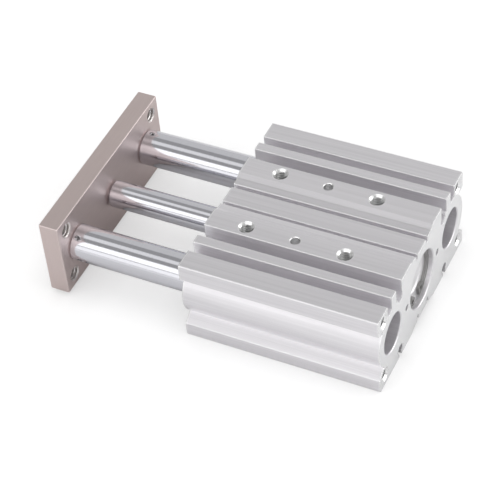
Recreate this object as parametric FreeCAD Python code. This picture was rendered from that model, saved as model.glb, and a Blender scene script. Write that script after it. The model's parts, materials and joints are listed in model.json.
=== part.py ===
"""Guided pneumatic cylinder with a 25 mm bore and a 50 mm stroke.

A compact cylinder sits between two guide rods in one extruded aluminium body. The piston rod and the
guide rods are screwed to a tool plate, which they carry as one carriage. The model stands with the
carriage run out.

Frame: millimetres, +X along the stroke towards the tool plate, +Y to the left when looking along +X,
+Z up. The origin is on the cylinder's axis, in the plane of the body's rear end face.
"""
import FreeCAD
import Part
import math
import os

# ---- Motion ------------------------------------------------------------------------------------
stroke = 50.0
stop_gap = 0.1                  # air left between the piston's stops at each end of the stroke

# ---- Cylinder ----------------------------------------------------------------------------------
cylinder_bore = 25.0
cover_mouth = 26.0              # wider mouth of the bore, so that a seal passes the ring groove
head_ring_recess = 2.5          # end face to retaining ring, at the rear
rod_ring_recess = 1.5           # the same at the front
head_cover_length = 6.3
rod_cover_length = 10.3
piston_length = 11.3
bumper_thickness = 1.5
bumper_gap = 1.0
cover_nose_diameter = 20.0      # covers are turned down inside, so that air gets past them
cover_land = 0.7                # collar on each side of a cover's seal
head_dish_diameter = 16.0       # dished face of the head cover
head_dish_depth = 0.6
cover_gap = 0.02                # radial gap of a cover in the bore
slide_gap = 0.05                # radial gap of what slides: seals, wear ring, piston rod
piston_gap = 0.3

# ---- Guides ------------------------------------------------------------------------------------
guide_pitch = 64.0
guide_rod_diameter = 16.0
bush_wall = 1.0
bush_length = 14.0
bush_spacing = 1.5
bush_gap = 0.03                 # radial running gap of a guide rod in its bush
press_gap = 0.01                # radial gap that stands for a press fit
scraper_bore = 22.0             # front counterbore that holds the felt and its holder
bore_bevel = 0.4                # edge break where a bore opens in an end face
guide_ring_recess = 1.2
guide_ring_lug_radius = 1.4     # small lugs, which clear the guide rod
guide_ring_lug_hole = 1.3
felt_length = 3.0
felt_holder_length = 2.2
felt_holder_gap = 0.4

# ---- Piston rod and tool plate -----------------------------------------------------------------
piston_rod_diameter = 12.0
plate_width = 91.0
plate_height = 38.0
plate_thickness = 9.0
plate_standoff = 7.0            # plate to body with the carriage run in
plate_edge_round = 0.5
rod_seat_depth = 1.0            # shallow seats in the plate that locate the rods
rod_seat_step = 1.6             # radial step from a rod's shoulder to the spigot in its seat
rod_seat_gap = 0.05
piston_rod_bevel = 1.2          # on the shoulders, where the rods butt on the plate
guide_rod_bevel = 0.6
guide_rod_lead = 0.8            # chamfer on a guide rod's free end
spigot_step = 2.0               # radial steps of the piston rod's riveted end
rivet_step = 1.0

# ---- Body section ------------------------------------------------------------------------------
body_width = 93.0
body_height = 42.0              # over the ridges
spine_width = 9.1               # raised strip on the centre line
spine_drop = 2.1                # spine below the ridges
hairline_width = 1.7            # narrow grooves on both sides of the spine
hairline_depth = 2.5
ledge_drop = 1.9
ramp_width = 2.2
ramp_drop = 1.3
ridge_width = 9.8               # flat that carries the mounting holes
switch_slot_width = 5.8
switch_slot_depth = 7.6
switch_groove_diameter = 4.8    # round groove at the foot of the slot, for a position switch
switch_mouth_width = 2.6        # mouth of the lower switch grooves, which have no wide slot
switch_mouth_depth = 3.7        # down to the groove's centre
rib_width = 4.6
rib_drop = 0.3
relief_width = 4.5
relief_depth = 7.0
ear_drop = 0.9                  # ears at the upper corners, below the ridges
ear_height = 8.4
ear_flare = 0.9                 # how much thicker the ear is at its root than at its edge
foot_height = 6.7               # feet at the lower corners, level with the lower ridges
foot_flare = 5.4
corner_root = 39.0              # distance from the centre line at which ear and foot meet the lobe
lobe_wall = 5.4                 # wall round a guide bore
edge_round = 0.4
groove_round = 0.3
ear_round = 0.8

# ---- Holes in the body -------------------------------------------------------------------------
mount_pitch_y = 34.0
mount_pitch_x = 44.0
mount_from_front = 17.0         # body's front face to the first mounting hole
mount_thread = 6.0
mount_thread_depth = 14.0
mount_clearance = 5.4
mount_head_bore = 9.0
mount_head_depth = 5.5
dowel_diameter = 4.0
dowel_depth = 6.0
end_hole_inset = 5.5            # from the body's sides, top and bottom
end_thread = 6.0
end_thread_depth = 12.0
end_pin_diameter = 3.0          # small blind holes between the bores in the rear face
end_pin_depth = 4.0
port_drill = 8.6
port_depth = 4.8
port_passage = 4.0
head_port_from_rear = 9.0
rod_port_from_front = 11.5
thread_chamfer = 0.5
hole_chamfer = 0.35

# ---- Holes in the tool plate -------------------------------------------------------------------
plate_hole_inset_y = 6.5        # from the plate's short edges
plate_hole_inset_z = 6.0        # from its long edges
plate_thread = 6.0

# ---- Screws, rings and seals -------------------------------------------------------------------
screw_thread = 6.0
screw_head_diameter = 10.0
screw_head_height = 6.0
screw_length = 14.0
screw_socket = 5.0              # across flats
screw_socket_depth = 3.0
screw_gap = 0.2
screw_head_gap = 0.25
screw_end_gap = 1.0             # screw's tip to the bottom of its hole
ring_thickness = 1.2
ring_band = 2.0                 # radial width of a retaining ring
ring_groove_depth = 0.5         # beyond the bore that the ring sits in
ring_gap = 0.05
ring_lug_radius = 2.3
ring_lug_hole = 2.0
ring_opening_angle = 24.0
o_ring_section = 2.0
rod_seal_width = 3.2
rod_seal_depth = 3.2
rod_seal_lip = 0.6
seal_width = 2.4
seal_depth = 2.2
magnet_width = 3.0
magnet_depth = 3.0
wear_ring_width = 2.4
wear_ring_depth = 1.2
piston_land = 0.7

# ---- Derived places along X --------------------------------------------------------------------
head_ring_at = head_ring_recess
head_cover_at = head_ring_at + ring_thickness
head_cover_end = head_cover_at + head_cover_length
piston_run_in = head_cover_end + stop_gap + bumper_thickness      # piston's rear face, carriage run in
piston_at = piston_run_in + stroke                                # the same, carriage run out
piston_end = piston_at + piston_length
rod_cover_at = piston_end + stop_gap + bumper_thickness
rod_cover_end = rod_cover_at + rod_cover_length
rod_ring_at = rod_cover_end
body_length = rod_ring_at + ring_thickness + rod_ring_recess
plate_at = body_length + plate_standoff + stroke
plate_end = plate_at + plate_thickness
guide_rod_at = stroke                                             # flush with the rear face when run in
rod_seat_at = plate_at + rod_seat_depth
guide_ring_at = body_length - guide_ring_recess - ring_thickness
felt_holder_at = guide_ring_at - felt_holder_length
felt_at = felt_holder_at - felt_length
front_bush_at = felt_at - bush_length
rear_bush_at = front_bush_at - bush_spacing - bush_length
mount_front_x = body_length - mount_from_front
mount_rear_x = mount_front_x - mount_pitch_x

# ---- Derived radii and heights -----------------------------------------------------------------
bore_radius = cylinder_bore / 2
rod_radius = piston_rod_diameter / 2
guide_radius = guide_rod_diameter / 2
guide_bore_radius = guide_radius + bush_wall
lobe_radius = guide_bore_radius + lobe_wall
guide_y = guide_pitch / 2
top = body_height / 2
SIDES = {"left": 1, "right": -1}

X_AXIS = FreeCAD.Vector(1, 0, 0)
OVERCUT = 1.0                   # how far a cutting tool runs past the face that it opens


# ---- Helpers -----------------------------------------------------------------------------------
def vector(x, y, z):
    return FreeCAD.Vector(x, y, z)


def disc(radius, start, end, y=0.0, z=0.0):
    """Cylinder along X from start to end."""
    return Part.makeCylinder(radius, end - start, vector(start, y, z), X_AXIS)


def tube(outer, inner, start, end, y=0.0):
    return disc(outer, start, end, y).cut(disc(inner, start - OVERCUT, end + OVERCUT, y))


def turned(profile, y=0.0):
    """Solid of revolution about the X axis, from (x, radius) points, moved sideways to y."""
    points = [vector(x, radius, 0) for x, radius in profile]
    face = Part.Face(Part.makePolygon(points + points[:1]))
    solid = face.revolve(vector(0, 0, 0), X_AXIS, 360)
    solid.translate(vector(0, y, 0))
    return solid


def drilled(mouth, direction, radius, depth, chamfer=0.0):
    """Cutting tool for a blind hole: a drill that enters at mouth, with a countersink if asked."""
    direction = vector(*direction)
    start = mouth - direction * OVERCUT
    tool = Part.makeCylinder(radius, depth + OVERCUT, start, direction)
    if chamfer:
        wide = radius + chamfer + OVERCUT
        tool = tool.fuse(Part.makeCone(wide, radius, chamfer + OVERCUT, start, direction))
    return tool


def rounded_outline(corners):
    """Closed wire in the YZ plane through (y, z, radius) corners, each rounded by its radius."""
    count = len(corners)
    edges = []
    ends = []
    for index, (y, z, radius) in enumerate(corners):
        corner = vector(0, y, z)
        before = vector(0, *corners[index - 1][:2]) - corner
        after = vector(0, *corners[(index + 1) % count][:2]) - corner
        before.normalize()
        after.normalize()
        if radius == 0:
            ends.append((corner, None, corner))
            continue
        half_angle = before.getAngle(after) / 2
        reach = radius / math.tan(half_angle)
        middle_way = before + after
        middle_way.normalize()
        middle = corner + middle_way * (radius / math.sin(half_angle) - radius)
        ends.append((corner + before * reach, middle, corner + after * reach))
    for index, (start, middle, end) in enumerate(ends):
        if middle is not None:
            edges.append(Part.Arc(start, middle, end).toShape())
        edges.append(Part.LineSegment(end, ends[(index + 1) % count][0]).toShape())
    return Part.Wire(edges)


def hexagon(across_flats, start, end, y=0.0):
    """Hexagonal prism along X."""
    radius = across_flats / 2 / math.cos(math.pi / 6)
    points = []
    for step in range(6):
        angle = math.radians(60 * step)
        points.append(vector(start, y + radius * math.cos(angle), radius * math.sin(angle)))
    face = Part.Face(Part.makePolygon(points + points[:1]))
    return face.extrude(X_AXIS * (end - start))


# ---- Body --------------------------------------------------------------------------------------
def middle_corners():
    """Corners from the spine out to the ridge's inner edge. Heights count up from the middle."""
    spine = spine_width / 2
    ledge = spine + hairline_width
    ridge_in = mount_pitch_y / 2 - ridge_width / 2
    hairline_floor = top - spine_drop - hairline_depth
    return [
        (spine, top - spine_drop, edge_round),
        (spine, hairline_floor, groove_round),
        (ledge, hairline_floor, groove_round),
        (ledge, top - ledge_drop, edge_round),
        (ridge_in - ramp_width, top - ramp_drop, edge_round),
        (ridge_in, top, edge_round),
    ]


def slot_corners():
    """Corners from the upper ridge's outer edge, over the rib, to the inner edge of the ear."""
    ridge_out = mount_pitch_y / 2 + ridge_width / 2
    rib_in = ridge_out + switch_slot_width
    rib_out = rib_in + rib_width
    ear_in = rib_out + relief_width
    return [
        (ridge_out, top, edge_round),
        (ridge_out, top - switch_slot_depth, groove_round),
        (rib_in, top - switch_slot_depth, groove_round),
        (rib_in, top - rib_drop, edge_round),
        (rib_out, top - rib_drop, edge_round),
        (rib_out, top - relief_depth, ear_round),
        (ear_in, top - relief_depth, ear_round),
        (ear_in, top - ear_drop, edge_round),
    ]


def corner_corners(height, thickness, flare):
    """Corners of an ear or a foot: its outer face, and its inner side down to its root."""
    side = body_width / 2
    edge = height - thickness
    return [
        (side, height, ear_round),
        (side, edge, ear_round),
        (corner_root, edge - flare, 0),
    ]


def extrusion():
    """The drawn profile at its full length, with a lobe round each guide."""
    upper = middle_corners() + slot_corners() + corner_corners(top - ear_drop, ear_height, ear_flare)
    lower = middle_corners() + corner_corners(top, foot_height, foot_flare)
    left_half = upper + [(y, -z, radius) for y, z, radius in reversed(lower)]
    right_half = [(-y, z, radius) for y, z, radius in reversed(left_half)]
    outline = Part.Face(rounded_outline(left_half + right_half))
    solid = outline.extrude(X_AXIS * body_length)
    for side in SIDES.values():
        solid = solid.fuse(disc(lobe_radius, 0, body_length, side * guide_y))
    return solid.removeSplitter()


def cylinder_cuts():
    mouth = cover_mouth / 2
    groove = mouth + ring_groove_depth
    front = vector(body_length, 0, 0)
    return [
        disc(bore_radius, -OVERCUT, body_length + OVERCUT),
        drilled(vector(0, 0, 0), (1, 0, 0), mouth, head_cover_at, bore_bevel),
        drilled(front, (-1, 0, 0), mouth, body_length - rod_ring_at, bore_bevel),
        disc(groove, head_ring_at - ring_gap, head_cover_at),
        disc(groove, rod_ring_at, rod_ring_at + ring_thickness + ring_gap),
    ]


def guide_cuts(y):
    scraper = scraper_bore / 2
    groove = scraper + ring_groove_depth
    front = vector(body_length, y, 0)
    return [
        drilled(vector(0, y, 0), (1, 0, 0), guide_bore_radius, body_length + OVERCUT, bore_bevel),
        drilled(front, (-1, 0, 0), scraper, body_length - felt_at, bore_bevel),
        disc(groove, guide_ring_at, guide_ring_at + ring_thickness + ring_gap, y),
    ]


def switch_grooves():
    """Round grooves for position switches: at the foot of the upper slots, and under the body."""
    radius = switch_groove_diameter / 2
    slot_in = mount_pitch_y / 2 + ridge_width / 2
    upper_y = slot_in + radius - 2 * groove_round
    upper_z = top - switch_slot_depth - groove_round
    lower_y = slot_in + switch_slot_width / 2
    lower_z = switch_mouth_depth - top
    length = body_length + 2 * OVERCUT
    cuts = []
    for side in SIDES.values():
        cuts.append(disc(radius, -OVERCUT, body_length + OVERCUT, side * upper_y, upper_z))
        cuts.append(disc(radius, -OVERCUT, body_length + OVERCUT, side * lower_y, lower_z))
        corner = vector(-OVERCUT, side * lower_y - switch_mouth_width / 2, -top - OVERCUT)
        cuts.append(Part.makeBox(length, switch_mouth_width, switch_mouth_depth + OVERCUT, corner))
    return cuts


def mounting_cuts():
    """Tapped holes in the top ridges, each drilled on to a screw-head bore in the bottom ridge."""
    cuts = []
    for x in (mount_rear_x, mount_front_x):
        for side in SIDES.values():
            y = side * mount_pitch_y / 2
            crown = vector(x, y, top)
            base = vector(x, y, -top)
            cuts.append(drilled(crown, (0, 0, -1), mount_thread / 2, mount_thread_depth, thread_chamfer))
            cuts.append(drilled(crown, (0, 0, -1), mount_clearance / 2, body_height + OVERCUT))
            cuts.append(drilled(base, (0, 0, 1), mount_head_bore / 2, mount_head_depth, hole_chamfer))
    return cuts


def pin_cuts():
    """Dowel holes in the top ridges, and the small holes between the bores in the rear face."""
    middle_x = (mount_rear_x + mount_front_x) / 2
    cuts = []
    for side in SIDES.values():
        y = side * mount_pitch_y / 2
        crown = vector(middle_x, y, top)
        cuts.append(drilled(crown, (0, 0, -1), dowel_diameter / 2, dowel_depth, hole_chamfer))
        cuts.append(drilled(vector(0, y, 0), (1, 0, 0), end_pin_diameter / 2, end_pin_depth))
    return cuts


def end_cuts():
    """Tapped holes in the rear ends of the ears and feet."""
    cuts = []
    for sy in (1, -1):
        for sz in (1, -1):
            mouth = vector(0, sy * (body_width / 2 - end_hole_inset), sz * (top - end_hole_inset))
            cuts.append(drilled(mouth, (1, 0, 0), end_thread / 2, end_thread_depth, thread_chamfer))
    return cuts


def port_cuts():
    """Two air ports in the spine of the underside, one into each end of the cylinder."""
    cuts = []
    for x in (head_port_from_rear, body_length - rod_port_from_front):
        mouth = vector(x, 0, -(top - spine_drop))
        cuts.append(drilled(mouth, (0, 0, 1), port_drill / 2, port_depth))
        cuts.append(drilled(mouth, (0, 0, 1), port_passage / 2, top - spine_drop))
    return cuts


def body_block():
    cuts = cylinder_cuts() + switch_grooves() + mounting_cuts() + pin_cuts() + end_cuts() + port_cuts()
    for side in SIDES.values():
        cuts += guide_cuts(side * guide_y)
    return extrusion().cut(cuts)


# ---- Cylinder's fixed pieces -------------------------------------------------------------------
def cover_profile(outer_end, inner_end):
    """Outside of a cover as (x, radius) points, from its outer face to its inner nose.

    The seal groove lies next to the outer face. Works in either direction along X."""
    way = 1 if inner_end > outer_end else -1
    radius = bore_radius - cover_gap
    groove = bore_radius - slide_gap - o_ring_section
    groove_at = outer_end + way * cover_land
    groove_end = groove_at + way * (o_ring_section + 2 * ring_gap)
    nose_at = groove_end + way * cover_land
    return [
        (outer_end, radius - groove_round),
        (outer_end + way * groove_round, radius),
        (groove_at, radius),
        (groove_at, groove),
        (groove_end, groove),
        (groove_end, radius),
        (nose_at, radius),
        (nose_at, cover_nose_diameter / 2),
        (inner_end, cover_nose_diameter / 2),
    ]


def cover_o_ring(outer_end, inner_end):
    way = 1 if inner_end > outer_end else -1
    section = o_ring_section / 2
    centre_x = outer_end + way * (cover_land + ring_gap + section)
    centre_radius = bore_radius - slide_gap - section
    return Part.makeTorus(centre_radius, section, vector(centre_x, 0, 0), X_AXIS)


def head_cover():
    """Plug that closes the rear of the bore, dished on the outside."""
    rim = head_dish_diameter / 2
    outside = cover_profile(head_cover_at, head_cover_end)
    dished = [
        (head_cover_end, 0),
        (head_cover_at + head_dish_depth, 0),
        (head_cover_at + head_dish_depth, rim - head_dish_depth),
        (head_cover_at, rim),
    ]
    return turned(outside + dished)


def rod_cover():
    """Front cover and bearing of the piston rod, with a seat for the rod seal in its outer face."""
    outside = cover_profile(rod_cover_end, rod_cover_at)
    seat = rod_radius + slide_gap + rod_seal_width
    inside = [
        (rod_cover_at, rod_radius + slide_gap),
        (rod_cover_end - rod_seal_depth, rod_radius + slide_gap),
        (rod_cover_end - rod_seal_depth, seat),
        (rod_cover_end, seat),
    ]
    return turned(outside + inside)


def rod_seal():
    """Rod seal and scraper in one, with a lip that stands towards the rod."""
    inner = rod_radius + slide_gap
    outer = inner + rod_seal_width - slide_gap
    back = rod_cover_end - rod_seal_depth
    return turned([
        (back, inner + rod_seal_lip),
        (back, outer),
        (rod_cover_end, outer),
        (rod_cover_end, inner + 2 * rod_seal_lip),
        (rod_cover_end + rod_seal_lip, inner + rod_seal_lip),
        (rod_cover_end + rod_seal_lip, inner),
        (rod_cover_end, inner),
        (back + rod_seal_lip, inner + rod_seal_lip),
    ])


def rod_bumper():
    inner = rod_radius + bumper_gap
    return tube(cover_nose_diameter / 2 - groove_round, inner, rod_cover_at - bumper_thickness, rod_cover_at)


def retaining_ring(at, seat_radius, lug_radius, lug_hole, y=0.0):
    """Internal retaining ring: a band open at the bottom, with a drilled lug at each end."""
    end = at + ring_thickness
    outer = seat_radius + ring_groove_depth - ring_gap
    inner = outer - ring_band
    band = disc(outer, at, end, y).cut(disc(inner, at - OVERCUT, end + OVERCUT, y))
    half_opening = math.radians(ring_opening_angle / 2)
    reach = 2 * outer
    wedge = Part.Face(Part.makePolygon([
        vector(at - OVERCUT, y, 0),
        vector(at - OVERCUT, y - reach * math.sin(half_opening), -reach * math.cos(half_opening)),
        vector(at - OVERCUT, y + reach * math.sin(half_opening), -reach * math.cos(half_opening)),
        vector(at - OVERCUT, y, 0),
    ]))
    ring = band.cut(wedge.extrude(X_AXIS * (ring_thickness + 2 * OVERCUT)))
    lug_reach = outer - lug_radius
    lug_angle = half_opening + math.asin(lug_radius / lug_reach)
    for side in SIDES.values():
        lug_y = y + side * lug_reach * math.sin(lug_angle)
        lug_z = -lug_reach * math.cos(lug_angle)
        ring = ring.fuse(disc(lug_radius, at, end, lug_y, lug_z))
        ring = ring.cut(disc(lug_hole / 2, at - OVERCUT, end + OVERCUT, lug_y, lug_z))
    return ring.removeSplitter()


def cover_ring(at):
    return retaining_ring(at, cover_mouth / 2, ring_lug_radius, ring_lug_hole)


# ---- Guides' fixed pieces ----------------------------------------------------------------------
def guide_bush(at, y):
    """Plain bearing bush, pressed into the guide bore and chamfered inside at both ends."""
    inner = guide_radius + bush_gap
    outer = guide_bore_radius - press_gap
    end = at + bush_length
    chamfer = bush_wall / 2
    return turned([
        (at, inner + chamfer),
        (at, outer),
        (end, outer),
        (end, inner + chamfer),
        (end - chamfer, inner),
        (at + chamfer, inner),
    ], y)


def felt_wiper(y):
    """Felt ring that holds oil and wipes the guide rod."""
    return tube(scraper_bore / 2 - cover_gap, guide_radius + slide_gap, felt_at, felt_holder_at, y)


def felt_holder(y):
    """Moulded ring that keeps the felt in place, bevelled towards the rod."""
    inner = guide_radius + felt_holder_gap
    outer = scraper_bore / 2 - cover_gap
    return turned([
        (felt_holder_at, inner),
        (felt_holder_at, outer),
        (guide_ring_at, outer),
        (guide_ring_at, inner + edge_round),
        (guide_ring_at - edge_round, inner),
    ], y)


def guide_ring(y):
    seat_radius = scraper_bore / 2
    return retaining_ring(guide_ring_at, seat_radius, guide_ring_lug_radius, guide_ring_lug_hole, y)


# ---- Carriage ----------------------------------------------------------------------------------
def tool_plate():
    """Plate with a tapped hole in each corner and three counterbored holes on the centre line."""
    corner = vector(plate_at, -plate_width / 2, -plate_height / 2)
    plate = Part.makeBox(plate_thickness, plate_width, plate_height, corner)
    plate = plate.makeFillet(plate_edge_round, plate.Edges)
    cuts = []
    for sy in (1, -1):
        for sz in (1, -1):
            y = sy * (plate_width / 2 - plate_hole_inset_y)
            z = sz * (plate_height / 2 - plate_hole_inset_z)
            front = vector(plate_end, y, z)
            back = vector(plate_at, y, z)
            through = plate_thickness + OVERCUT
            cuts.append(drilled(front, (-1, 0, 0), plate_thread / 2, through, thread_chamfer))
            cuts.append(drilled(back, (1, 0, 0), plate_thread / 2, through, thread_chamfer))
    head_bore = screw_head_diameter / 2 + screw_head_gap
    for y, radius in ((guide_y, guide_radius), (0, rod_radius), (-guide_y, guide_radius)):
        seat = radius - rod_seat_step + rod_seat_gap
        cuts.append(disc(seat, plate_at - OVERCUT, rod_seat_at, y))
        cuts.append(disc(screw_thread / 2 + screw_gap, plate_at, plate_end, y))
        front = vector(plate_end, y, 0)
        cuts.append(drilled(front, (-1, 0, 0), head_bore, screw_head_height + screw_gap, hole_chamfer))
    return plate.cut(cuts)


def tapped_end(radius, bevel):
    """Plate end of a rod as (x, radius) points: bevelled shoulder, spigot, tapped hole, drill's cone."""
    spigot = radius - rod_seat_step
    thread = screw_thread / 2
    bottom = rod_seat_at - screw_length
    return [
        (plate_at - bevel, radius),
        (plate_at, radius - bevel),
        (plate_at, spigot),
        (rod_seat_at - hole_chamfer, spigot),
        (rod_seat_at, spigot - hole_chamfer),
        (rod_seat_at, thread + hole_chamfer),
        (rod_seat_at - hole_chamfer, thread),
        (bottom, thread),
        (bottom - thread / 2, 0),
    ]


def guide_rod(y):
    free_end = [
        (guide_rod_at, 0),
        (guide_rod_at, guide_radius - guide_rod_lead),
        (guide_rod_at + guide_rod_lead, guide_radius),
    ]
    return turned(free_end + tapped_end(guide_radius, guide_rod_bevel), y)


def rivet_radius():
    return rod_radius - rivet_step


def piston_rod():
    """Rod with a spigot through the piston, headed over in a recess of the piston's rear face."""
    spigot = rod_radius - spigot_step
    head = rivet_radius()
    foot = [
        (piston_at, 0),
        (piston_at, head - groove_round),
        (piston_at + groove_round, head),
        (piston_at + bumper_thickness, head),
        (piston_at + bumper_thickness, spigot),
        (piston_end, spigot),
        (piston_end, rod_radius),
    ]
    return turned(foot + tapped_end(rod_radius, piston_rod_bevel))


def cap_screw(y):
    """Hexagon socket head cap screw, with its head sunk in the tool plate."""
    under_head = plate_end - screw_head_height - screw_gap
    tip = rod_seat_at - screw_length + screw_end_gap
    head_end = under_head + screw_head_height
    head_radius = screw_head_diameter / 2
    shank = screw_thread / 2 - ring_gap
    screw = turned([
        (tip, 0),
        (tip, shank - groove_round),
        (tip + groove_round, shank),
        (under_head, shank),
        (under_head, head_radius),
        (head_end - edge_round, head_radius),
        (head_end, head_radius - edge_round),
        (head_end, 0),
    ], y)
    return screw.cut(hexagon(screw_socket, head_end - screw_socket_depth, head_end + OVERCUT, y))


def piston_bands():
    """Seal, magnet and wear ring of the piston as (start, end, floor radius), from the front back."""
    bands = {}
    edge = piston_end - piston_land
    for name, width, depth in (
        ("piston_seal", seal_width, seal_depth),
        ("magnet", magnet_width, magnet_depth),
        ("wear_ring", wear_ring_width, wear_ring_depth),
    ):
        bands[name] = (edge - width, edge, bore_radius - piston_gap - depth)
        edge -= width + piston_land
    return bands


def piston():
    radius = bore_radius - piston_gap
    blank = disc(radius, piston_at, piston_end)
    cuts = [disc(rod_radius - spigot_step, piston_at - OVERCUT, piston_end + OVERCUT)]
    cuts.append(disc(rivet_radius(), piston_at - OVERCUT, piston_at + bumper_thickness))
    for start, end, floor in piston_bands().values():
        cuts.append(tube(radius + OVERCUT, floor, start, end))
    return blank.cut(cuts)


def piston_band(name, gap):
    """Ring that fills a groove of the piston and stands out to the bore, less a gap."""
    start, end, floor = piston_bands()[name]
    return tube(bore_radius - gap, floor, start + ring_gap, end - ring_gap)


def piston_seal():
    """Seal with two lips, parted by a shallow trough."""
    start, end, floor = piston_bands()["piston_seal"]
    start += ring_gap
    end -= ring_gap
    lip = bore_radius - slide_gap
    middle = (start + end) / 2
    return turned([(start, floor), (start, lip), (middle, lip - edge_round), (end, lip), (end, floor)])


def head_bumper():
    outer = cover_nose_diameter / 2 - groove_round
    return tube(outer, rod_radius, piston_at - bumper_thickness, piston_at)


# ---- Assembly ----------------------------------------------------------------------------------
def pieces():
    parts = {
        "body_block": body_block(),
        "head_cover": head_cover(),
        "head_cover_o_ring": cover_o_ring(head_cover_at, head_cover_end),
        "head_cover_ring": cover_ring(head_ring_at),
        "rod_cover": rod_cover(),
        "rod_cover_o_ring": cover_o_ring(rod_cover_end, rod_cover_at),
        "rod_cover_ring": cover_ring(rod_ring_at),
        "rod_seal": rod_seal(),
        "rod_bumper": rod_bumper(),
        "tool_plate": tool_plate(),
        "piston_rod": piston_rod(),
        "piston_rod_screw": cap_screw(0),
        "piston": piston(),
        "piston_seal": piston_seal(),
        "piston_magnet": piston_band("magnet", piston_gap),
        "piston_wear_ring": piston_band("wear_ring", slide_gap),
        "head_bumper": head_bumper(),
    }
    for name, side in SIDES.items():
        y = side * guide_y
        parts["guide_rod_" + name] = guide_rod(y)
        parts["guide_rod_screw_" + name] = cap_screw(y)
        parts["front_bush_" + name] = guide_bush(front_bush_at, y)
        parts["rear_bush_" + name] = guide_bush(rear_bush_at, y)
        parts["felt_wiper_" + name] = felt_wiper(y)
        parts["felt_holder_" + name] = felt_holder(y)
        parts["guide_ring_" + name] = guide_ring(y)
    return parts


def main():
    os.makedirs("parts", exist_ok=True)
    for name, shape in pieces().items():
        solid = shape if shape.ShapeType == "Solid" or len(shape.Solids) != 1 else shape.Solids[0]
        print(f"{name}: {len(shape.Solids)} solid, {shape.Volume:.1f} mm3, valid {shape.isValid()}")
        solid.exportStep(f"parts/{name}.step")


main()
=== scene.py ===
"""Looks of a guided pneumatic cylinder: finishes, cut threads, studio light and camera."""

import json
import math

import bpy
from mathutils import Matrix, Vector


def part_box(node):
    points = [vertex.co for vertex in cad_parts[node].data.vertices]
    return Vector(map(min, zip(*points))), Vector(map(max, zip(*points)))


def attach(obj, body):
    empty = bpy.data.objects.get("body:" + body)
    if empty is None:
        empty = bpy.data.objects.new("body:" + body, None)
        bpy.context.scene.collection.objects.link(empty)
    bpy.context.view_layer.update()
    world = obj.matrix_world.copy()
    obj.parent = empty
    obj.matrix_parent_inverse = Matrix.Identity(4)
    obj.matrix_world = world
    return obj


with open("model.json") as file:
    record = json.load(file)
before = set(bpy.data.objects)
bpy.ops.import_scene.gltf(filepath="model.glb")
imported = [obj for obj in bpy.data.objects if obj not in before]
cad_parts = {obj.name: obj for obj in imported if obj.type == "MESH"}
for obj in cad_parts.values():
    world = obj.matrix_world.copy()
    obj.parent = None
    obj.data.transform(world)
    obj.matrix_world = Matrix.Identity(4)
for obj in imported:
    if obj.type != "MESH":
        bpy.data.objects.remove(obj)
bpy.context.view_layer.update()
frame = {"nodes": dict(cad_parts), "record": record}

MM = 0.001

# ---- Places taken from the frame ---------------------------------------------------------------
MOUNTS = {mount["name"]: mount for mount in frame["record"]["mounts"]}
BODY_LOW, BODY_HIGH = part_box("body_block")
PLATE_LOW, PLATE_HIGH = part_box("tool_plate")
FLOOR_Z = BODY_LOW.z
OBJECT_CENTRE = Vector(((BODY_LOW.x + PLATE_HIGH.x) / 2, 0, 0))

# ---- Threads -----------------------------------------------------------------------------------
THREAD_PITCH = 1.0 * MM
THREAD_DEPTH = 0.5 * MM         # from crest to root
THREAD_SEAT = 0.04 * MM         # the thread's back is let into the wall by this much
COUNTERSINK = 0.5 * MM          # depth of the countersink in the wall, which the lead-in carries on
TOP_TURNS = 12
END_TURNS = 9
PLATE_TURNS = 6
STEPS_PER_TURN = 32
MERGE_DISTANCE = 0.001 * MM
SMOOTH_ANGLE = math.radians(25)

# ---- Finishes ----------------------------------------------------------------------------------
FACE_SKIN = 0.01 * MM           # below a face, so that the face round a hole keeps its own finish
BODY_CUT_REACH = 6.0 * MM       # how far down the body's holes are seen bright
BODY_EDGE_WEAR_AND_HIGHLIGHT = 1.0 * MM             # how far in from its edges the body is worn smoother and painted paler as a highlight
PLATE_EDGE_HIGHLIGHT = 0.8 * MM            # how far in from its edges the tool plate is painted paler as a highlight
EDGE_MASK_SAMPLES = 8
FINE_SAMPLES = 6                # of the rounded edges, on the two large pieces
PLAIN_SAMPLES = 4               # the same, on the others

# ---- Studio ------------------------------------------------------------------------------------
CAMERA_PLACE = Vector((-198.8, 498.5, 563.6)) * MM
CAMERA_TARGET = Vector((73.6, 10.3, 0.0)) * MM
CAMERA_ROLL = math.radians(-5.75)
CAMERA_LENS = 135.7
CAMERA_SENSOR = 36.0
CAMERA_CLIP = (0.05, 20.0)
ROOM_RADIANCE = 0.37            # white is 1
SOFTBOX_DISTANCE = 1.2
SOFTBOX_LENGTH = 3.0
SOFTBOXES = (                   # along the rods: angle up from the near side, height, radiance
    ("near_low_softbox", 12, 0.46, 0.84),
    ("near_high_softbox", 40, 0.58, 1.1),
    ("top_strip", 87, 0.46, 0.54),
    ("far_softbox", 155, 1.4, 0.28),
)
REAR_SOFTBOX = ("rear_softbox", (-0.9, -0.4, 0.3), 1.4, 0.6, 1.7)     # direction, sizes, radiance
FLOOR_SIZE = 8.0
FLOOR_GAP = 0.02 * MM           # keeps the floor and the base from lying in one plane
FLOOR_LIFT = 0.54               # white that the camera sees added to the floor near the object
SHADOW_RADIUS = 0.1             # the lift starts to rise here, from the object's centre
WHITE_RADIUS = 0.5              # and has made the floor white here
PAINTED_SHADOW_REACH = 20 * MM         # how far out the floor's colour is painted darker, as shadow
PAINTED_SHADOW_SAMPLES = 8


# ---- Colours and nodes -------------------------------------------------------------------------
def colour(hex_value):
    """Linear RGBA of an sRGB hex colour."""
    channels = [int(hex_value[i:i + 2], 16) / 255 for i in (1, 3, 5)]
    linear = [c / 12.92 if c <= 0.04045 else ((c + 0.055) / 1.055) ** 2.4 for c in channels]
    return (*linear, 1.0)


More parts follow.
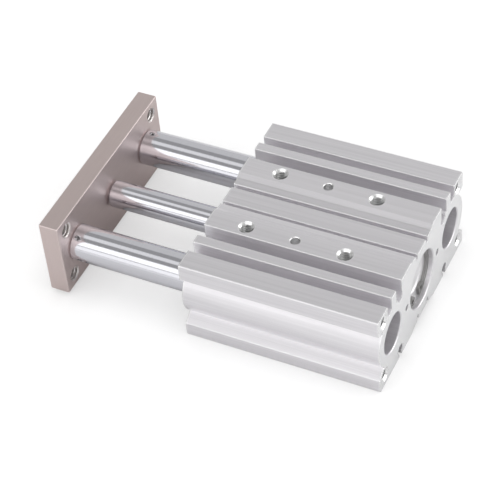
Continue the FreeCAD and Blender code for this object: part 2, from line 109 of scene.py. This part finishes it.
def add(tree, kind, settings=None, **links):
    """Adds a node with its settings and links.

    A setting is an attribute or, by number or name, the value of an input. A link names its input,
    and _0 is the first one."""
    node = tree.nodes.new(kind)
    for key, value in (settings or {}).items():
        if isinstance(key, str) and hasattr(node, key):
            setattr(node, key, value)
        else:
            node.inputs[key].default_value = value
    for key, source in links.items():
        socket = int(key[1:]) if key[0] == "_" else key.replace("_", " ")
        tree.links.new(source, node.inputs[socket])
    return node


def new_material(name):
    """Empty material and its node tree."""
    material = bpy.data.materials.new(name)
    material.use_nodes = True
    tree = material.node_tree
    tree.nodes.clear()
    return material, tree


def grain(tree, size, detail=2.0):
    """Noise on the object, 0 to 1, whose features measure size, in metres, along each axis."""
    where = add(tree, "ShaderNodeTexCoord")
    scaled = add(tree, "ShaderNodeMapping", {"Scale": [1 / length for length in size]},
                 Vector=where.outputs["Object"])
    noise = add(tree, "ShaderNodeTexNoise", {"Scale": 1.0, "Detail": detail},
                Vector=scaled.outputs[0])
    full = add(tree, "ShaderNodeMapRange", {"From Min": 0.3, "From Max": 0.7},
               Value=noise.outputs[0])
    return full.outputs[0]


def axes_across(mount):
    """The two axes of the frame that lie across a mount's own axis."""
    return [axis for axis in (Vector((1, 0, 0)), Vector((0, 1, 0)), Vector((0, 0, 1)))
            if abs(axis.dot(Vector(mount["axis"]))) < 0.5]


def half_spacing(mount):
    """Half the distances between a mount's holes along those two axes, or 0 for a single hole."""
    return [mount["dims"].get(key, 0) * MM / 2 for key in ("spacing_x_mm", "spacing_y_mm")]


def cut_bright(tree, mount, mouth, reach):
    """1 in a mount's holes and on their countersinks, down to reach below the mouths, else 0.

    The mouth is the middle of the pattern, in the face that the holes open in."""
    dims = mount["dims"]
    first, second = axes_across(mount)
    first_half, second_half = half_spacing(mount)
    where = add(tree, "ShaderNodeTexCoord")
    from_centre = add(tree, "ShaderNodeVectorMath", {"operation": "SUBTRACT", 1: mouth},
                      _0=where.outputs["Object"])
    folded = add(tree, "ShaderNodeVectorMath", {"operation": "ABSOLUTE"}, _0=from_centre.outputs[0])
    from_hole = add(tree, "ShaderNodeVectorMath", {"operation": "SUBTRACT",
                    1: first * first_half + second * second_half}, _0=folded.outputs[0])
    across = add(tree, "ShaderNodeVectorMath", {"operation": "MULTIPLY", 1: first + second},
                 _0=from_hole.outputs[0])
    radius = add(tree, "ShaderNodeVectorMath", {"operation": "LENGTH"}, _0=across.outputs[0])
    hole = dims.get("hole_r_mm", dims.get("r_mm"))
    near = add(tree, "ShaderNodeMath", {"operation": "LESS_THAN", 1: hole * MM + COUNTERSINK},
               _0=radius.outputs["Value"])
    height = add(tree, "ShaderNodeVectorMath", {"operation": "DOT_PRODUCT",
                 1: Vector(mount["axis"])}, _0=from_centre.outputs[0])
    shallow = add(tree, "ShaderNodeMath", {"operation": "GREATER_THAN", 1: -reach},
                  _0=height.outputs["Value"])
    sunk = add(tree, "ShaderNodeMath", {"operation": "LESS_THAN", 1: -FACE_SKIN},
               _0=height.outputs["Value"])
    within = add(tree, "ShaderNodeMath", {"operation": "MULTIPLY"}, _0=shallow.outputs[0],
                 _1=sunk.outputs[0])
    both = add(tree, "ShaderNodeMath", {"operation": "MULTIPLY"}, _0=near.outputs[0],
               _1=within.outputs[0])
    return both.outputs[0]


def edge_wear_and_highlight(tree, reach):
    """1 on outer edges, where rays sent into the metal soon leave it, and 0 from reach inwards."""
    # Painted highlight: the mask makes edges a paler colour, and on the body also smoother, as wear
    # does.
    inwards = add(tree, "ShaderNodeAmbientOcclusion",
                  {"inside": True, "only_local": True, "samples": EDGE_MASK_SAMPLES, "Distance": reach})
    edge_highlight = add(tree, "ShaderNodeMapRange", {"From Min": 0.9, "From Max": 0.6},
                 Value=inwards.outputs["AO"])
    return edge_highlight.outputs[0]


def worked_surface(tree, height, depth, edge, samples=PLAIN_SAMPLES):
    """Normal of a surface with rounded edges and a relief of that depth."""
    rounded = add(tree, "ShaderNodeBevel", {"samples": samples, "Radius": edge})
    relief = add(tree, "ShaderNodeBump", {"Strength": 1.0, "Distance": depth},
                 Height=height, Normal=rounded.outputs[0])
    return relief.outputs[0]


# ---- Materials ---------------------------------------------------------------------------------
def anodised_extrusion():
    """Drawn aluminium, anodised in its natural colour.

    Anodising turns the metal satin and slightly grey, and the die leaves fine lines along it. The
    ends are faced by a mill, with shallow arcs, and are paler, partly as bare milling leaves them
    and partly painted as the light that falls on them. The mouths of the holes are cut last and
    stay bright. The outer edges, which handling rubs, are smoother, and painted paler as a
    highlight."""
    material, tree = new_material("anodised_extrusion")
    die_lines = grain(tree, (60 * MM, 0.5 * MM, 0.5 * MM), 3.0)
    die_streaks = grain(tree, (150 * MM, 1.8 * MM, 1.8 * MM))
    clouds = grain(tree, (30 * MM, 8 * MM, 8 * MM))
    lined = add(tree, "ShaderNodeMix", {"data_type": "RGBA", 6: colour("#F0EEF1"),
                                        7: colour("#F6F4F7")}, _0=die_lines)
    streaked = add(tree, "ShaderNodeMix", {"data_type": "RGBA", 6: colour("#F6F6F6"),
                                           7: colour("#FFFFFF")}, _0=die_streaks)
    drawn = add(tree, "ShaderNodeMix", {"data_type": "RGBA", "blend_type": "MULTIPLY", 0: 1.0},
                _6=lined.outputs[2], _7=streaked.outputs[2])
    # Painted light: the ends are a paler colour than the drawn sides, for the light that falls on
    # them.
    milled_and_lit_ends = add(tree, "ShaderNodeMix", {"data_type": "RGBA", 6: colour("#FAFAFB"),
                                         7: colour("#FDFDFD")}, _0=clouds)

    geometry = add(tree, "ShaderNodeNewGeometry")
    facing = add(tree, "ShaderNodeSeparateXYZ", _0=geometry.outputs["Normal"])
    steep = add(tree, "ShaderNodeMath", {"operation": "ABSOLUTE"}, _0=facing.outputs["X"])
    on_end = add(tree, "ShaderNodeMapRange", {"From Min": 0.9, "From Max": 0.98},
                 Value=steep.outputs[0])
    walls = add(tree, "ShaderNodeMix", {"data_type": "RGBA"},
                _0=on_end.outputs[0], _6=drawn.outputs[2], _7=milled_and_lit_ends.outputs[2])

    bright = edge_wear_and_highlight(tree, BODY_EDGE_WEAR_AND_HIGHLIGHT)
    for name in ("mounting_threads_top", "rear_end_threads", "dowel_hole_left", "dowel_hole_right"):
        mouth = Vector(MOUNTS[name]["pos_m"])
        if name.startswith("dowel"):
            mouth.z = BODY_HIGH.z
        cut = cut_bright(tree, MOUNTS[name], mouth, BODY_CUT_REACH)
        either = add(tree, "ShaderNodeMath", {"operation": "MAXIMUM"}, _0=bright, _1=cut)
        bright = either.outputs[0]
    # Painted highlight: the outer edges get this paler colour; the cut mouths are bare bright
    # metal.
    base = add(tree, "ShaderNodeMix", {"data_type": "RGBA", 7: colour("#FCFCFC")},
               _0=bright, _6=walls.outputs[2])
    satin = add(tree, "ShaderNodeMapRange", {"To Min": 0.38, "To Max": 0.44}, Value=clouds)
    rough = add(tree, "ShaderNodeMix", {"data_type": "FLOAT", 3: 0.26},
                _0=bright, _2=satin.outputs[0])

    where = add(tree, "ShaderNodeTexCoord")
    cutter_path = add(tree, "ShaderNodeMapping", {"Scale": (1.0, 1 / (3 * MM), 1 / (3 * MM))},
                      Vector=where.outputs["Object"])
    arcs = add(tree, "ShaderNodeTexWave",
               {"wave_type": "RINGS", "rings_direction": "X", "Scale": 1.6, "Distortion": 0.6},
               Vector=cutter_path.outputs[0])
    height = add(tree, "ShaderNodeMix", {"data_type": "FLOAT"},
                 _0=on_end.outputs[0], _2=die_lines, _3=arcs.outputs["Fac"])
    surface = worked_surface(tree, height.outputs[0], 0.004 * MM, 0.35 * MM, FINE_SAMPLES)
    shader = add(tree, "ShaderNodeBsdfPrincipled", {"Metallic": 0.85}, Base_Color=base.outputs[2],
                 Roughness=rough.outputs[0], Normal=surface)
    add(tree, "ShaderNodeOutputMaterial", Surface=shader.outputs[0])
    return material


def nickel_plated_plate():
    """Steel plate, ground and then plated in matt nickel: warm grey, with a faint grain along it.

    Its tapped holes are cut after plating and show bright steel, and its edges are painted paler
    as a highlight."""
    material, tree = new_material("nickel_plated_plate")
    ground = grain(tree, (0.3 * MM, 9 * MM, 0.3 * MM), 3.0)
    clouds = grain(tree, (12 * MM, 12 * MM, 12 * MM))
    plated = add(tree, "ShaderNodeMix", {"data_type": "RGBA", 6: colour("#DACBC8"),
                                         7: colour("#DFD0CD")}, _0=ground)
    threads = MOUNTS["tool_plate_threads"]
    cut = cut_bright(tree, threads, threads["pos_m"], PLATE_HIGH.x - PLATE_LOW.x)
    tapped = add(tree, "ShaderNodeMix", {"data_type": "RGBA", 7: colour("#E4DFDD")},
                 _0=cut, _6=plated.outputs[2])
    # Painted highlight: the plate's edges get a paler colour.
    base = add(tree, "ShaderNodeMix", {"data_type": "RGBA", 7: colour("#F0E4E1")},
               _0=edge_wear_and_highlight(tree, PLATE_EDGE_HIGHLIGHT), _6=tapped.outputs[2])
    satin = add(tree, "ShaderNodeMapRange", {"To Min": 0.38, "To Max": 0.46}, Value=clouds)
    rough = add(tree, "ShaderNodeMix", {"data_type": "FLOAT", 3: 0.3}, _0=cut, _2=satin.outputs[0])
    surface = worked_surface(tree, ground, 0.006 * MM, 0.25 * MM, FINE_SAMPLES)
    shader = add(tree, "ShaderNodeBsdfPrincipled", {"Metallic": 1.0}, Base_Color=base.outputs[2],
                 Roughness=rough.outputs[0], Normal=surface)
    add(tree, "ShaderNodeOutputMaterial", Surface=shader.outputs[0])
    return material


def hard_chrome():
    """Hard chrome on a ground steel rod: a cool mirror, with a trace of the grinding round it."""
    material, tree = new_material("hard_chrome")
    ground = grain(tree, (0.25 * MM, 20 * MM, 20 * MM), 3.0)
    base = add(tree, "ShaderNodeMix", {"data_type": "RGBA", 6: colour("#DBDBE1"),
                                       7: colour("#E0E0E5")}, _0=ground)
    polish = add(tree, "ShaderNodeMapRange", {"To Min": 0.10, "To Max": 0.14}, Value=ground)
    surface = worked_surface(tree, ground, 0.0006 * MM, 0.15 * MM)
    shader = add(tree, "ShaderNodeBsdfPrincipled", {"Metallic": 1.0}, Base_Color=base.outputs[2],
                 Roughness=polish.outputs[0], Normal=surface)
    add(tree, "ShaderNodeOutputMaterial", Surface=shader.outputs[0])
    return material


def plain_metal(name, dark, light, rough, grain_size, depth):
    """Turned, cut or coated metal: an even grain of the size and depth given."""
    material, tree = new_material(name)
    texture = grain(tree, (grain_size, grain_size, grain_size), 3.0)
    base = add(tree, "ShaderNodeMix", {"data_type": "RGBA", 6: colour(dark), 7: colour(light)},
               _0=texture)
    satin = add(tree, "ShaderNodeMapRange", {"To Min": rough - 0.04, "To Max": rough + 0.04},
                Value=texture)
    surface = worked_surface(tree, texture, depth, 0.1 * MM)
    shader = add(tree, "ShaderNodeBsdfPrincipled", {"Metallic": 1.0}, Base_Color=base.outputs[2],
                 Roughness=satin.outputs[0], Normal=surface)
    add(tree, "ShaderNodeOutputMaterial", Surface=shader.outputs[0])
    return material


def plain_polymer(name, dark, light, rough, grain_size, depth):
    """Rubber, felt or plastic: matt, with an even grain of the size and depth given."""
    material, tree = new_material(name)
    texture = grain(tree, (grain_size, grain_size, grain_size), 4.0)
    base = add(tree, "ShaderNodeMix", {"data_type": "RGBA", 6: colour(dark), 7: colour(light)},
               _0=texture)
    matt = add(tree, "ShaderNodeMapRange", {"To Min": rough - 0.06, "To Max": rough + 0.06},
               Value=texture)
    relief = add(tree, "ShaderNodeBump", {"Strength": 1.0, "Distance": depth}, Height=texture)
    shader = add(tree, "ShaderNodeBsdfPrincipled", {"Metallic": 0.0, "IOR": 1.5},
                 Base_Color=base.outputs[2], Roughness=matt.outputs[0], Normal=relief.outputs[0])
    add(tree, "ShaderNodeOutputMaterial", Surface=shader.outputs[0])
    return material


def studio_floor():
    """White floor with the object's shadow close by, and a shadow painted into its colour, deepest
    where the two nearly touch.

    The metal mirrors it, shadow and all, and sees its colour painted darker close to the object."""
    material, tree = new_material("studio_floor")
    where = add(tree, "ShaderNodeTexCoord")
    level = add(tree, "ShaderNodeVectorMath", {"operation": "MULTIPLY", 1: (1, 1, 0)},
                _0=where.outputs["Object"])
    away = add(tree, "ShaderNodeVectorMath", {"operation": "DISTANCE", 1: (OBJECT_CENTRE.x, 0, 0)},
               _0=level.outputs[0])
    lift = add(tree, "ShaderNodeMapRange",
               {"interpolation_type": "SMOOTHSTEP", "From Min": SHADOW_RADIUS,
                "From Max": WHITE_RADIUS, "To Min": FLOOR_LIFT, "To Max": 1.0},
               Value=away.outputs["Value"])
    path = add(tree, "ShaderNodeLightPath")
    # Painted shadow: the floor's colour darkens where the object covers it, on top of the shadow
    # that the lamps cast.
    shadow_cover = add(tree, "ShaderNodeAmbientOcclusion",
                    {"samples": PAINTED_SHADOW_SAMPLES, "Distance": PAINTED_SHADOW_REACH})
    paper_and_painted_shadow = add(tree, "ShaderNodeMix", {"data_type": "RGBA", 6: colour("#808080"),
                                        7: colour("#DEDEDE")}, _0=shadow_cover.outputs["AO"])
    matt = add(tree, "ShaderNodeBsdfDiffuse", Color=paper_and_painted_shadow.outputs[2])
    white = add(tree, "ShaderNodeEmission", {"Color": colour("#FFFFFF")}, Strength=lift.outputs[0])
    seen = add(tree, "ShaderNodeAddShader", _0=matt.outputs[0], _1=white.outputs[0])
    # Painted shade: the floor that the metal mirrors has a darker colour close to the object.
    reflected_paper_painted_shade = add(tree, "ShaderNodeMix", {"data_type": "RGBA", 6: colour("#000000"),
                                          7: colour("#BFBFC0")}, _0=lift.outputs[0])
    paler = add(tree, "ShaderNodeBsdfDiffuse", Color=reflected_paper_painted_shade.outputs[2])
    mirrored = add(tree, "ShaderNodeAddShader", _0=matt.outputs[0], _1=paler.outputs[0])
    straight = add(tree, "ShaderNodeMixShader", _0=path.outputs["Is Camera Ray"],
                   _1=matt.outputs[0], _2=seen.outputs[0])
    final = add(tree, "ShaderNodeMixShader", _0=path.outputs["Is Glossy Ray"],
                _1=straight.outputs[0], _2=mirrored.outputs[0])
    add(tree, "ShaderNodeOutputMaterial", Surface=final.outputs[0])
    return material


def dress_nodes():
    """Gives every node of the frame the finish of its material slot."""
    finishes = {
        "body": anodised_extrusion(),
        "tool_plate": nickel_plated_plate(),
        "rod": hard_chrome(),
        # Turning leaves bare aluminium pale, and dull from fine tool marks.
        "cover": plain_metal("turned_aluminium", "#EEEDEE", "#F4F3F4", 0.5, 0.5 * MM, 0.002 * MM),
        # Black oxide grows in hot salts, and the oil that seals it gives a low shine.
        "screw": plain_metal("black_oxide_steel", "#2A2A2B", "#363637", 0.35, 0.3 * MM, 0.003 * MM),
        # Phosphating covers spring steel with fine crystals: mid grey and nearly matt.
        "retaining_ring": plain_metal("phosphated_steel", "#949392", "#A9A8A7", 0.42, 0.3 * MM,
                                      0.003 * MM),
        # Bronze powder, pressed and sintered, keeps pores that hold oil.
        "bush": plain_metal("sintered_bronze", "#A8854E", "#BE9A60", 0.4, 0.2 * MM, 0.004 * MM),
        # Rubber moulded against a smooth die is black, with a faint bloom.
        "seal": plain_polymer("nitrile_rubber", "#141414", "#1D1D1D", 0.5, 0.3 * MM, 0.004 * MM),
        # Pressed wool fibres stay rough, and the oil darkens them.
        "felt": plain_polymer("oiled_felt", "#8F8A7C", "#BBB5A4", 0.9, 0.25 * MM, 0.06 * MM),
        # Injection moulding copies the fine spark-eroded grain of its die.
        "plastic": plain_polymer("moulded_acetal", "#1E1E1F", "#28282A", 0.42, 0.4 * MM,
                                 0.003 * MM),
        # Magnet powder in a plastic binder is near black, with a fine fleck.
        "magnet": plain_polymer("bonded_magnet", "#26262A", "#323238", 0.5, 0.2 * MM, 0.004 * MM),
    }
    for row in frame["record"]["subparts"]:
        for socket in frame["nodes"][row["node"]].material_slots:
            socket.material = finishes[row["material_slot"]]


# ---- Threads -----------------------------------------------------------------------------------
def swept_round(outline, drop, turns):
    """Solid that four (radius, height) corners sweep round the Z axis, dropping at each turn.

    With no drop it closes on itself. With a drop its two ends are capped."""
    bpy.ops.object.select_all(action="DESELECT")
    bpy.ops.mesh.primitive_plane_add(size=1.0)
    piece = bpy.context.active_object
    corner_of = {(1, 1): 0, (1, -1): 1, (-1, -1): 2, (-1, 1): 3}
    for vertex in piece.data.vertices:
        quarter = (1 if vertex.co.x > 0 else -1, 1 if vertex.co.y > 0 else -1)
        radius, height = outline[corner_of[quarter]]
        vertex.co = Vector((radius, 0, height))
    bpy.ops.object.mode_set(mode="EDIT")
    bpy.ops.mesh.select_all(action="SELECT")
    bpy.ops.mesh.delete(type="ONLY_FACE")
    bpy.ops.object.mode_set(mode="OBJECT")
    screw = piece.modifiers.new("turns", "SCREW")
    screw.axis = "Z"
    screw.angle = math.tau
    screw.screw_offset = -drop
    screw.iterations = turns
    screw.steps = STEPS_PER_TURN
    screw.render_steps = STEPS_PER_TURN
    screw.use_smooth_shade = False
    bpy.ops.object.modifier_apply(modifier=screw.name)
    bpy.ops.object.mode_set(mode="EDIT")
    bpy.ops.mesh.select_all(action="SELECT")
    bpy.ops.mesh.remove_doubles(threshold=MERGE_DISTANCE)
    if drop:
        bpy.ops.mesh.select_all(action="SELECT")
        bpy.ops.mesh.fill_holes(sides=0)
    bpy.ops.mesh.select_all(action="SELECT")
    bpy.ops.mesh.normals_make_consistent(inside=False)
    bpy.ops.object.mode_set(mode="OBJECT")
    return piece


def thread_turns(turns, radius):
    """Lead-in cone and helix of a cut thread round the Z axis, which run down from the mouth."""
    crest = radius - THREAD_DEPTH
    root = radius + THREAD_SEAT
    flat = THREAD_PITCH / 8
    lead_end = COUNTERSINK + THREAD_DEPTH
    helix = swept_round([(root, THREAD_PITCH / 2 - flat / 2), (root, -THREAD_PITCH / 2 + flat / 2),
                         (crest, -flat), (crest, flat)], THREAD_PITCH, turns)
    helix.data.transform(Matrix.Translation((0, 0, -lead_end - THREAD_PITCH / 2)))
    lead_in = swept_round([(root, THREAD_SEAT - COUNTERSINK), (root, -lead_end - flat),
                           (crest, -lead_end - flat), (crest, -lead_end)], 0, 1)
    for piece in (helix, lead_in):
        piece.select_set(True)
    bpy.context.view_layer.objects.active = helix
    bpy.ops.object.join()
    bpy.ops.object.shade_smooth_by_angle(angle=SMOOTH_ANGLE)
    return helix


def cut_threads(mount_name, turns, finish, body):
    """Puts a thread into each hole of a four-hole pattern."""
    mount = MOUNTS[mount_name]
    centre = Vector(mount["pos_m"])
    first, second = axes_across(mount)
    first_half, second_half = half_spacing(mount)
    pattern = thread_turns(turns, mount["dims"]["hole_r_mm"] * MM)
    turn = Vector(mount["axis"]).to_track_quat("Z", "Y").to_matrix().to_4x4()
    for index, (u, v) in enumerate(((1, 1), (1, -1), (-1, -1), (-1, 1))):
        place = centre + first * u * first_half + second * v * second_half
        thread = pattern.copy()
        thread.data = pattern.data.copy()
        thread.name = f"{mount_name}_{index + 1}"
        thread.data.transform(Matrix.Translation(place) @ turn)
        bpy.context.collection.objects.link(thread)
        thread.data.materials.append(finish)
        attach(thread, body)
    bpy.data.objects.remove(pattern)


# ---- Studio ------------------------------------------------------------------------------------
def lay_floor():
    """Wide floor that the feet of the body stand on."""
    bpy.ops.object.select_all(action="DESELECT")
    bpy.ops.mesh.primitive_plane_add(size=FLOOR_SIZE, location=(0, 0, FLOOR_Z - FLOOR_GAP))
    floor = bpy.context.active_object
    floor.name = "studio_floor"
    floor.data.materials.append(studio_floor())


def light_room():
    """Grey room that the camera sees as white."""
    world = bpy.data.worlds.new("room")
    bpy.context.scene.world = world
    world.use_nodes = True
    tree = world.node_tree
    tree.nodes.clear()
    path = add(tree, "ShaderNodeLightPath")
    walls = add(tree, "ShaderNodeBackground",
                {"Color": colour("#FFFFFF"), "Strength": ROOM_RADIANCE})
    white = add(tree, "ShaderNodeBackground", {"Color": colour("#FFFFFF"), "Strength": 1.0})
    mix = add(tree, "ShaderNodeMixShader", _0=path.outputs["Is Camera Ray"],
              _1=walls.outputs[0], _2=white.outputs[0])
    add(tree, "ShaderNodeOutputWorld", Surface=mix.outputs[0])


def add_softbox(name, towards, length, height, radiance):
    """Softbox that faces the object from the direction given, with its length level."""
    lamp = bpy.data.lights.new(name, "AREA")
    lamp.shape = "RECTANGLE"
    lamp.size = length
    lamp.size_y = height
    lamp.energy = radiance * math.pi * length * height
    box = bpy.data.objects.new(name, lamp)
    towards = Vector(towards).normalized()
    box.location = OBJECT_CENTRE + towards * SOFTBOX_DISTANCE
    side = Vector((1, 0, 0)) if abs(towards.x) < 0.5 else Vector((0, 1, 0))
    up = towards.cross(side).normalized()
    box.rotation_euler = Matrix((up.cross(towards), up, towards)).transposed().to_euler()
    bpy.context.collection.objects.link(box)


def place_lights():
    """Pale room, long softboxes parallel to the rods, and one softbox at the rear end."""
    light_room()
    for name, angle, height, radiance in SOFTBOXES:
        slope = math.radians(angle)
        add_softbox(name, (0, math.cos(slope), math.sin(slope)), SOFTBOX_LENGTH, height, radiance)
    add_softbox(*REAR_SOFTBOX)


def place_camera():
    """Camera above the near side, at the rear end, turned a little about its own axis."""
    camera_data = bpy.data.cameras.new("camera")
    camera_data.lens = CAMERA_LENS
    camera_data.sensor_width = CAMERA_SENSOR
    camera_data.clip_start, camera_data.clip_end = CAMERA_CLIP
    camera = bpy.data.objects.new("camera", camera_data)
    aim = (CAMERA_TARGET - CAMERA_PLACE).to_track_quat("-Z", "Y").to_matrix().to_4x4()
    roll = Matrix.Rotation(CAMERA_ROLL, 4, "Z")
    camera.matrix_world = Matrix.Translation(CAMERA_PLACE) @ aim @ roll
    bpy.context.collection.objects.link(camera)
    bpy.context.scene.camera = camera


# ---- Scene -------------------------------------------------------------------------------------
dress_nodes()
# A tap cuts a thread clean: brighter and smoother than the faces round it.
tapped_aluminium = plain_metal("tapped_aluminium", "#F8F8F8", "#FCFCFC", 0.22, 0.2 * MM, 0.001 * MM)
tapped_steel = plain_metal("tapped_steel", "#E4E0DE", "#EFEBEA", 0.24, 0.2 * MM, 0.001 * MM)
cut_threads("mounting_threads_top", TOP_TURNS, tapped_aluminium, "cylinder")
cut_threads("rear_end_threads", END_TURNS, tapped_aluminium, "cylinder")
cut_threads("tool_plate_threads", PLATE_TURNS, tapped_steel, "carriage")
lay_floor()
place_lights()
place_camera()
bpy.context.scene.view_settings.view_transform = "Standard"
